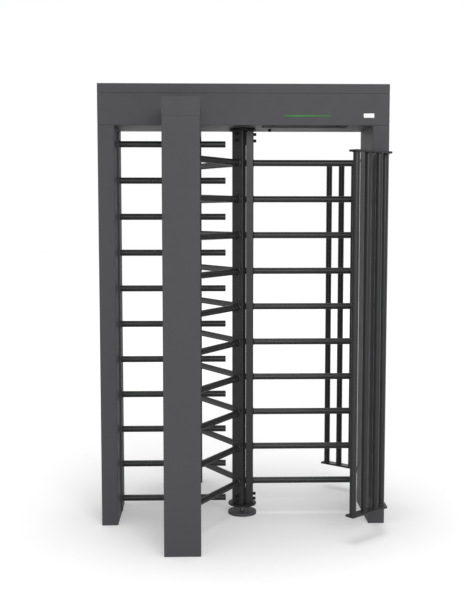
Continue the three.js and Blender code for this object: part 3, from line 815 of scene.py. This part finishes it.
def guardPlace(run, side, values):
    # a point on the guard's line, at that distance from the post's face
    straight = min(run, values["bendRun"])
    rest = run - straight
    x = values["line"] - sin(values["turn"]) * rest
    y = abs(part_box("right_post")[0].y) + straight + cos(values["turn"]) * rest
    return Vector((x, side * y, 0))


def guardPlate(name, node, side, values):
    low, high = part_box(node)
    half, turn = values["width"] / 2, values["turn"]
    start = guardPlace(0.0003, side, values)
    bend = guardPlace(values["bendRun"], side, values)
    end = guardPlace(values["bendRun"] + values["bendTube"] + 2 * values["pitch"] + values["end"], side, values)
    bm = bmesh.new()
    rows = []
    for place, x, y in ((start, 1, 0), (bend, 1, tan(turn / 2)), (end, cos(turn), sin(turn))):
        across = Vector((x, side * y, 0)) * half
        rows.append((bm.verts.new(place + across), bm.verts.new(place - across)))
    for near, far in zip(rows, rows[1:]):
        bm.faces.new((near[0], near[1], far[1], far[0]))
    thicken(bm, (0, 0, high.z - low.z))
    bmesh.ops.dissolve_limit(bm, angle_limit=radians(1), verts=bm.verts[:], edges=bm.edges[:])
    beyond = abs(start.y) + values["bendRun"] * 1.3
    bevel(bm, [e for e in edgesAlong(bm, 2) if abs(e.verts[0].co.y) > beyond], values["corner"], 4)
    bevel(bm, edgesAlong(bm, 2, False), values["round"], 2)
    # the guard plates take the darker copy of the paint, as painted shade
    finishPiece(name, moved(bm, shift(0, 0, low.z)), "paint", node=node, finish="rotorPaint")


def guardTubes(word, side, values):
    first, pitch = values["firstTube"], values["pitch"]
    runs = [first, first + pitch, *(values["bendRun"] + values["bendTube"] + index * pitch for index in range(3))]
    bead = beadMesh(values["bead"])
    for index, run in enumerate(runs, 1):
        node = f"{word}_guard_tube_{index}"
        low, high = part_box(node)
        place = guardPlace(run, side, values)
        length = high.z - low.z
        bm = cylinder(tubeValues["radius"], length, tubeValues["sides"])
        stamp(bm, bead, spin(index * 0.9))
        stamp(bm, bead, shift(0, 0, length) @ Matrix.Rotation(pi, 4, "X") @ spin(index * 1.7))
        # the guard tubes take the darker copy of the paint, as painted shade
        remake(node, moved(bm, shift(place.x, place.y, low.z)), "paint", finish="rotorPaint")
    bead.free()


for side, word in ((-1, "front"), (1, "rear")):
    for end in ("Top", "Bottom"):
        guardPlate(f"{word}Guard{end}", f"{word}_guard_{end.lower()}_plate", side, guardValues)
    guardTubes(word, side, guardValues)
print("side guards welded up")

# Rotor: three channels with ten arms each

wingValues = {
    "inner": 0.0205, "outer": 0.0577, "width": 0.0625, "wall": 0.003, "bend": 0.005, "rows": 10, "lowest": 0.1822,
    "pitch": 0.1918, "root": 0.01403, "reach": 0.625, "bead": 0.0044,
    "boltHeights": (0.081, 0.108, 2.025, 2.059), "bolt": (0.016, 0.0145, 0.0172, 0.0012),
}
thirds = [spin(index * tau / 3) for index in range(3)]


def wingMesh(values):
    low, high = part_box("wing_1")
    half, inner, outer = values["width"] / 2, values["inner"], values["outer"]
    bm = bmesh.new()
    chain = [bm.verts.new((x, y, low.z)) for x, y in ((inner, -half), (outer, -half), (outer, half), (inner, half))]
    edges = [bm.edges.new(pair) for pair in zip(chain, chain[1:])]
    made = bmesh.ops.extrude_edge_only(bm, edges=edges)
    bmesh.ops.translate(bm, vec=(0, 0, high.z - low.z), verts=newVerts(made))
    faceOut(bm)
    if max(bm.faces, key=lambda f: f.calc_center_median().x).normal.x < 0:
        bmesh.ops.reverse_faces(bm, faces=bm.faces[:])
    bevel(bm, [e for e in bm.edges if len(e.link_faces) == 2], values["bend"], 5)
    solidify(bm, values["wall"])
    heights = [values["lowest"] + row * values["pitch"] for row in range(values["rows"])]
    arm = tubeMesh(values["reach"] - values["root"])
    pour(bm, arm, *[alongX(values["root"], 0, z) for z in heights])
    bead = beadMesh(values["bead"])
    pour(bm, bead, *[alongX(outer, 0, z) @ spin(row * 1.9) for row, z in enumerate(heights)])
    return bm


def rotorWings(values):
    wing = wingMesh(values)
    bolts = copies(socketBolt(*values["bolt"]), [
        alongX(values["outer"], 0, z) @ spin(0.4 + index * 0.7) for index, z in enumerate(values["boltHeights"])
    ])
    for index, turn in enumerate(thirds, 1):
        # the wings' slot finish is the darker copy of the paint, as painted shade
        remake(f"wing_{index}", moved(wing.copy(), turn), "rotor_paint", "rotor")
        finishPiece(f"wingBolts{index}", moved(bolts.copy(), turn), "black_steel", "rotor")
    wing.free()
    bolts.free()


rotorWings(wingValues)
print("rotor wings welded up")

# Hubs: a flange disc with a lug in each channel

hubValues = {"flange": 0.010, "edge": 0.0016, "lugHalf": 0.02795, "lugEnd": 0.0544, "lugRise": 0.072, "lugEdge": 0.0012}


def hub(node, upward, values):
    low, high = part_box(node)
    flange, half = values["flange"], values["lugHalf"]
    bm = rodMesh((high.y - low.y) / 2, flange, 96, values["edge"], 3)
    lug = blockMesh((0, -half, flange * 0.5), (values["lugEnd"], half, flange + values["lugRise"]), values["lugEdge"])
    pour(bm, lug, *thirds)
    place = shift(0, 0, low.z) if upward else shift(0, 0, high.z) @ Matrix.Rotation(pi, 4, "X")
    # the hubs take the darker copy of the paint, as painted shade
    remake(node, moved(bm, place), "rotor_paint", "rotor", "hubPaint")


hub("top_hub", False, hubValues)
hub("bottom_hub", True, hubValues)

# Floor plate with its anchors, the pivot pin in it, the bush on the pin and the shaft at the top

pivotValues = {"anchor": (0.0165, 0.0009, 0.0175, 0.0002), "anchorCircle": 0.055, "collar": 0.005}


def halfWidth(node):
    low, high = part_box(node)
    return (high.x - low.x) / 2


def floorPivot(values):
    low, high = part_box("floor_plate")
    radius, pin = halfWidth("floor_plate"), halfWidth("pivot_pin")
    bore = pin + 0.0004
    remake("floor_plate", spunMesh([
        (bore, low.z), (radius, low.z), (radius, high.z - 0.0015), (radius - 0.0006, high.z - 0.0004),
        (radius - 0.0015, high.z), (bore, high.z, 0.0008), (bore, low.z),
    ], 96), "rotor_paint", finish="paint")
    anchors = copies(socketBolt(*values["anchor"]), [
        shift(*onCircle(values["anchorCircle"], radians(60 + index * 120)), high.z) @ spin(index * 0.5)
        for index in range(3)
    ])
    finishPiece("floorAnchors", anchors, "rotor_paint", finish="paint")
    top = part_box("pivot_pin")[1].z
    remake("pivot_pin", spunMesh([
        (0, 0), (pin, 0), (pin, top - 0.002), (pin - 0.0006, top - 0.0006), (pin - 0.002, top), (0, top),
    ]), "bare_steel", finish="pinSteel")
    low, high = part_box("bottom_bush")
    outer, bore, collar = halfWidth("bottom_bush"), pin + 0.0003, values["collar"]
    remake("bottom_bush", spunMesh([
        (bore, low.z + 0.0006), (bore + 0.0006, low.z), (outer, low.z, 0.0008), (outer, low.z + collar),
        (outer - collar, low.z + collar), (outer - collar, high.z), (bore, high.z), (bore, low.z + 0.0006),
    ], 64), "bronze", "rotor")
    low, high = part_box("main_shaft")
    radius = halfWidth("main_shaft")
    remake("main_shaft", spunMesh([
        (0, low.z), (radius, low.z, 0.001), (radius, high.z - 0.002), (radius - 0.0006, high.z - 0.0006),
        (radius - 0.002, high.z), (0.006, high.z), (0, high.z - 0.004),
    ], 64), "bare_steel", "rotor")


floorPivot(pivotValues)
print("hubs and pivot turned")

# Mechanism bed inside the header, with its own screws and those of the bearing housing

bedValues = {
    "corner": 0.006, "screw": (0.010, 0.004, 0.014, 0.0012), "inset": 0.012, "rightInset": 0.010,
    "housingInset": 0.0065, "housingFlange": 0.010,
}


def mechanismBed(values):
    low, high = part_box("mechanism_bed")
    bm = blockMesh(low, high)
    bevel(bm, edgesAlong(bm, 2), values["corner"], 5)
    for z, side in ((high.z, 1), (low.z, -1)):
        openHole(bm, (0, 0, z), side, headerValues["shaftHole"])
    bmesh.ops.bridge_loops(bm, edges=openEdges(bm))
    weld(bm)
    faceOut(bm)
    remake("mechanism_bed", bm, "zinc_steel")
    inset = values["inset"]
    radius = halfWidth("bearing_housing") - values["housingInset"]
    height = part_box("bearing_housing")[0].z + values["housingFlange"]
    rows = (low.x + inset, high.x - values["rightInset"])
    places = [(x, y, high.z) for x in rows for y in (low.y + inset, high.y - inset)]
    places += [(*onCircle(radius, radians(45 + 90 * index)), height) for index in range(4)]
    screws = copies(socketBolt(*values["screw"]), [shift(*place) for place in places])
    finishPiece("bedScrews", screws, "black_steel", finish="boltSteel")


# Top bearing in its cast housing

bearingValues = {"body": 0.050, "flange": 0.010, "clear": 0.0003, "shoulder": 0.012, "bore": 0.0203, "race": 0.0055}


def bearingHousing(values):
    low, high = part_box("bearing_housing")
    seatLow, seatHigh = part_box("top_bearing")
    outer, bore, race = halfWidth("top_bearing"), values["bore"], values["race"]
    edge, body, flange = halfWidth("bearing_housing"), values["body"], low.z + values["flange"]
    seat, floor = outer + values["clear"], seatLow.z - values["clear"]
    throat = seat - values["shoulder"]
    remake("bearing_housing", spunMesh([
        (throat, low.z), (edge, low.z, 0.001), (edge, flange, 0.0015), (body + 0.003, flange),
        (body + 0.0008, flange + 0.001), (body, flange + 0.0032), (body, high.z, 0.0015), (seat, high.z, 0.0008),
        (seat, floor), (throat, floor), (throat, low.z),
    ], 96), "cast_iron")
    top, groove = seatHigh.z, race + 0.0007
    remake("top_bearing", spunMesh([
        (bore, seatLow.z), (outer, seatLow.z), (outer, top, 0.0008), (outer - race, top),
        (outer - groove, top - 0.0016), (bore + groove, top - 0.0016), (bore + race, top), (bore, top, 0.0008),
        (bore, seatLow.z),
    ], 96), "bare_steel")


# Lock wheel with a collar and three grub screws

wheelValues = {
    "thick": 0.012, "bore": 0.0203, "collar": 0.032, "notches": 12, "notchHalf": 0.0085, "notchDepth": 0.015,
    "edge": 0.0004, "grip": (0.0055, 0.0022, 0.006, 0.0002), "gripAngle": 28.6, "gripSunk": 0.0006,
}


def lockWheel(values):
    low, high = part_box("lock_wheel")
    radius = (high.y - low.y) / 2
    bore, collar, half = values["bore"], values["collar"], values["notchHalf"]
    face = low.z + values["thick"]
    step = tau / values["notches"]
    lip = asin(half / radius)
    outline = [onCircle(radius, lip + (step / 2 - lip) * part / 4) for part in range(5)]
    floor = radius - values["notchDepth"]
    sector = [(x, -y) for x, y in reversed(outline)] + [(floor, -half), (floor, half)] + outline
    sector += [onCircle(bore, step * part) for part in (0.5, 0.25, 0, -0.25, -0.5)]
    bm = bmesh.new()
    for index in range(values["notches"]):
        turn = Matrix.Rotation(index * step, 3, "Z")
        bm.faces.new([bm.verts.new(turn @ Vector((x, y, low.z))) for x, y in sector])
    weld(bm)
    thicken(bm, (0, 0, values["thick"]))
    bevel(bm, sharpEdges(bm), values["edge"], 1)
    foot = face - 0.002
    pour(bm, spunMesh([
        (bore, foot), (collar, foot), (collar, high.z, 0.0012), (bore, high.z, 0.0008), (bore, foot),
    ], 72))
    remake("lock_wheel", bm, "bare_steel", "rotor")
    reach, height = collar - values["gripSunk"], (face + high.z) / 2
    angles = [radians(values["gripAngle"]) + index * tau / 3 for index in range(3)]
    screws = copies(socketBolt(*values["grip"]), [
        placed((*onCircle(reach, angle), height), (*onCircle(1, angle), 0)) for angle in angles
    ])
    finishPiece("wheelScrews", screws, "black_steel", "rotor", finish="boltSteel")


# Solenoid: coil between two cheeks on a base, and the plunger through it

solenoidValues = {
    "bore": 0.0083, "sheet": 0.005, "coilGap": 0.0006, "top": 0.005, "notchSteps": 12, "tail": 0.026,
    "tailRadius": 0.004,
}


def solenoidCoil(values):
    low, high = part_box("solenoid")
    plungerLow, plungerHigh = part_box("solenoid_plunger")
    y, z = (plungerLow.y + plungerHigh.y) / 2, (plungerLow.z + plungerHigh.z) / 2
    length, radius = high.x - low.x, high.z - z
    bore, sheet, top = values["bore"], values["sheet"], values["top"]
    start = sheet + values["coilGap"]
    coil = spunMesh([
        (bore, start), (radius, start, 0.0012), (radius, length - start, 0.0012), (bore, length - start), (bore, start),
    ], 64)
    finishPiece("solenoidCoil", moved(coil, alongX(low.x, y, z)), "coil_wrap", node="solenoid")
    yoke = bmesh.new()
    lean, steps = asin(top / bore), values["notchSteps"]
    notch = [onCircle(bore, lean - (pi + 2 * lean) * part / steps) for part in range(steps + 1)]
    outline = [(low.y - y, low.z - z), (high.y - y, low.z - z), (high.y - y, top), *notch, (low.y - y, top)]
    for x in (low.x, high.x - sheet):
        cheek = bmesh.new()
        cheek.faces.new([cheek.verts.new((x, y + a, z + b)) for a, b in outline])
        thicken(cheek, (sheet, 0, 0))
        pour(yoke, cheek)
        collar = spunMesh([(bore, 0), (radius, 0), (radius, 0.0004), (radius, sheet), (bore, sheet), (bore, 0)], 64)
        pour(yoke, collar, alongX(x, y, z))
    pour(yoke, blockMesh((low.x + 0.001, low.y, low.z), (high.x - 0.001, high.y, low.z + sheet), 0.0006, 1))
    finishPiece("solenoidYoke", yoke, "zinc_steel")
    rod, long = (plungerHigh.z - plungerLow.z) / 2, plungerHigh.x - plungerLow.x
    neck, slim = long - values["tail"], values["tailRadius"]
    pin = spunMesh([
        (0, 0), (rod, 0, 0.0008), (rod, neck, 0.0014), (slim, neck), (slim, long, 0.0012), (0, long),
    ], 40)
    remake("solenoid_plunger", moved(pin, alongX(plungerLow.x, y, z)), "bare_steel", "plunger")


# Control box with louvres, lid screws and cable glands

boxValues = {
    "wall": 0.002, "bend": 0.003, "slots": 12, "slotStart": 0.0315, "slotPitch": 0.0125, "slot": (0.005, 0.0004),
    "slotDrop": (0.032, 0.012), "screw": (0.007, 0.0022, 0.0075, 0.0003), "screwInset": 0.009,
    "glands": 3, "glandStart": 0.03, "glandPitch": 0.025, "glandHeight": 0.028,
}


def controlBox(values):
    low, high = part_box("control_box")
    bm = foldedBox(low, high, values["bend"], True, False)
    bevel(bm, edgesAbove(bm, high.z), values["wall"], 3)
    solidify(bm, values["wall"])
    remake("control_box", bm, "grey_case")
    (wide, proud), (bottom, top), inset = values["slot"], values["slotDrop"], values["screwInset"]
    columns = [low.x + values["slotStart"] + index * values["slotPitch"] for index in range(values["slots"])]
    slot = blockMesh((0, -proud, high.z - bottom), (wide, proud, high.z - top), 0.0003, 1)
    fittings = copies(slot, [shift(x, y, 0) for y in (low.y, high.y) for x in columns])
    pour(fittings, socketBolt(*values["screw"]), *[
        shift(x, y, high.z) for x in (low.x + inset, high.x - inset) for y in (low.y + inset, high.y - inset)
    ])
    gland = rodMesh(0.008, 0.009, 6, 0.0008)
    pour(gland, rodMesh(0.006, 0.015, 32, 0.002, 3))
    starts = [low.y + values["glandStart"] + index * values["glandPitch"] for index in range(values["glands"])]
    pour(fittings, gland, *[placed((low.x, y, low.z + values["glandHeight"]), (-1, 0, 0)) for y in starts])
    finishPiece("boxFittings", fittings, "black_steel")


# Lock pawl on its pivot, seen from above with the pivot at the origin before it swings to its rest angle

pawlValues = {
    "outline": (
        (-0.003, 0.067), (0.015, 0.067), (0.015, 0.077), (-0.003, 0.077), (-0.003, 0.107), (-0.014, 0.107),
        (-0.014, 0.0), (-0.003, 0.0),
    ),
    "corner": 0.002, "edge": 0.0004, "bore": 0.0053, "boss": 0.011, "restAngle": 12.5,
    "shoulder": 2.1468, "shoulderRadius": 0.010, "pin": 0.005,
}


def lockPawl(values):
    pivotLow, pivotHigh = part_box("pawl_pivot")
    x, y = (pivotLow.x + pivotHigh.x) / 2, (pivotLow.y + pivotHigh.y) / 2
    low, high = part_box("lock_pawl")
    thick, bore, boss = high.z - low.z, values["bore"], values["boss"]
    bm = bmesh.new()
    bm.faces.new([bm.verts.new((a, b, 0)) for a, b in values["outline"]])
    tips = [v for v in bm.verts if v.co.y > 0.1 or v.co.x > 0.01]
    bevel(bm, tips, values["corner"], 4, "VERTICES")
    thicken(bm, (0, 0, thick))
    level = edgesAlong(bm, 2, False)
    bevel(bm, [e for e in sharpEdges(bm) if e in level], values["edge"], 1)
    pour(bm, spunMesh([(bore, 0), (boss, 0, 0.0008), (boss, thick, 0.0008), (bore, thick), (bore, 0)]))
    remake("lock_pawl", moved(bm, shift(x, y, low.z) @ spin(radians(values["restAngle"]))), "black_steel", "pawl")
    wide, top, pin = values["shoulderRadius"], values["shoulder"], values["pin"]
    bm = spunMesh([
        (0, pivotLow.z), (wide, pivotLow.z), (wide, top, 0.0004), (pin, top), (pin, pivotHigh.z, 0.001),
        (0, pivotHigh.z),
    ])
    remake("pawl_pivot", moved(bm, shift(x, y, 0)), "bare_steel")


mechanismBed(bedValues)
bearingHousing(bearingValues)
lockWheel(wheelValues)
lockPawl(pawlValues)
solenoidCoil(solenoidValues)
controlBox(boxValues)
print("mechanism in place")

# Floor, light and world

stageValues = {
    "floorSize": 60, "floorDrop": 0.0004, "color": (0.87, 0.87, 0.87), "light": (0.88, 0.88, 0.88), "worldFill": 0.36,
    # the floor's glow by distance, weakest near the object: painted shade round it
    "liftReach": 12.0, "lift": ((0, 0.18), (0.042, 0.18), (0.09, 0.27), (0.25, 0.35), (0.5, 0.5), (1, 0.72)),
}


def floorCoat(tree, place, base, values):
    # glows towards white for what the camera sees, least near the object, so the floor round the object is darkened by
    # painted shade on top of its real shadows
    away = addNode(tree, "ShaderNodeVectorMath", {0: place}, operation="LENGTH").outputs["Value"]
    level = greyRamp(tree, remap(tree, away, 0.0, 1.0, 0.0, values["liftReach"]), values["lift"])
    return {
        "Base Color": mixColors(tree, patches(tree, place, 1.3, 4.0), base, opaque(values["light"])),
        "Roughness": 0.9,
        "Specular IOR Level": 0.0,
        "Emission Color": (1, 1, 1, 1),
        "Emission Strength": combine(tree, seenRays(tree), level),
    }


def whiteFloor(values):
    bm = bmesh.new()
    bmesh.ops.create_grid(bm, x_segments=4, y_segments=4, size=values["floorSize"] / 2)
    mesh = bpy.data.meshes.new("floor")
    moved(bm, shift(0, 0, -values["floorDrop"])).to_mesh(mesh)
    bm.free()
    mesh.materials.append(mixFinish("floor", floorCoat, values))
    newObject("floor", mesh)


def studioWorld(fillLevel):
    world = bpy.data.worlds.new("studio")
    bpy.context.scene.world = world
    world.use_nodes = True
    tree = world.node_tree
    tree.nodes.clear()
    fill, white = (
        addNode(tree, "ShaderNodeBackground", {"Color": (1, 1, 1, 1), "Strength": level}).outputs["Background"]
        for level in (fillLevel, 1.0)
    )
    mix = addNode(tree, "ShaderNodeMixShader", {0: seenRays(tree), 1: fill, 2: white})
    addNode(tree, "ShaderNodeOutputWorld", {"Surface": mix.outputs["Shader"]})


lampList = (
    ("keyLamp", (1.9, -10.4, 4.4), (0.0, 0.0, 1.2), 6.4, 4.2, 586.0),
    ("topLamp", (0.0, 0.0, 12.0), (0.0, 0.001, 0.0), 6.0, 9.0, 670.0),
)


def addLamps(entries):
    for name, place, target, wide, tall, power in entries:
        lamp = newObject(name, bpy.data.lights.new(name, "AREA"))
        lamp.data.shape = "RECTANGLE"
        lamp.data.size = wide
        lamp.data.size_y = tall
        lamp.data.energy = power
        lamp.location = place
        lamp.rotation_euler = (Vector(target) - Vector(place)).to_track_quat("-Z", "Y").to_euler()


whiteFloor(stageValues)
studioWorld(stageValues["worldFill"])
addLamps(lampList)
print("stage lit")

# Every node that still shows gets its finish

nodeSlots = {entry["node"]: entry["material_slot"] for entry in frame["record"]["subparts"]}
for nodeName, node in frame["nodes"].items():
    node.data.materials.clear()
    node.data.materials.append(finishes[camel(nodeSlots[nodeName])])
print("finishes on the frame's own nodes")
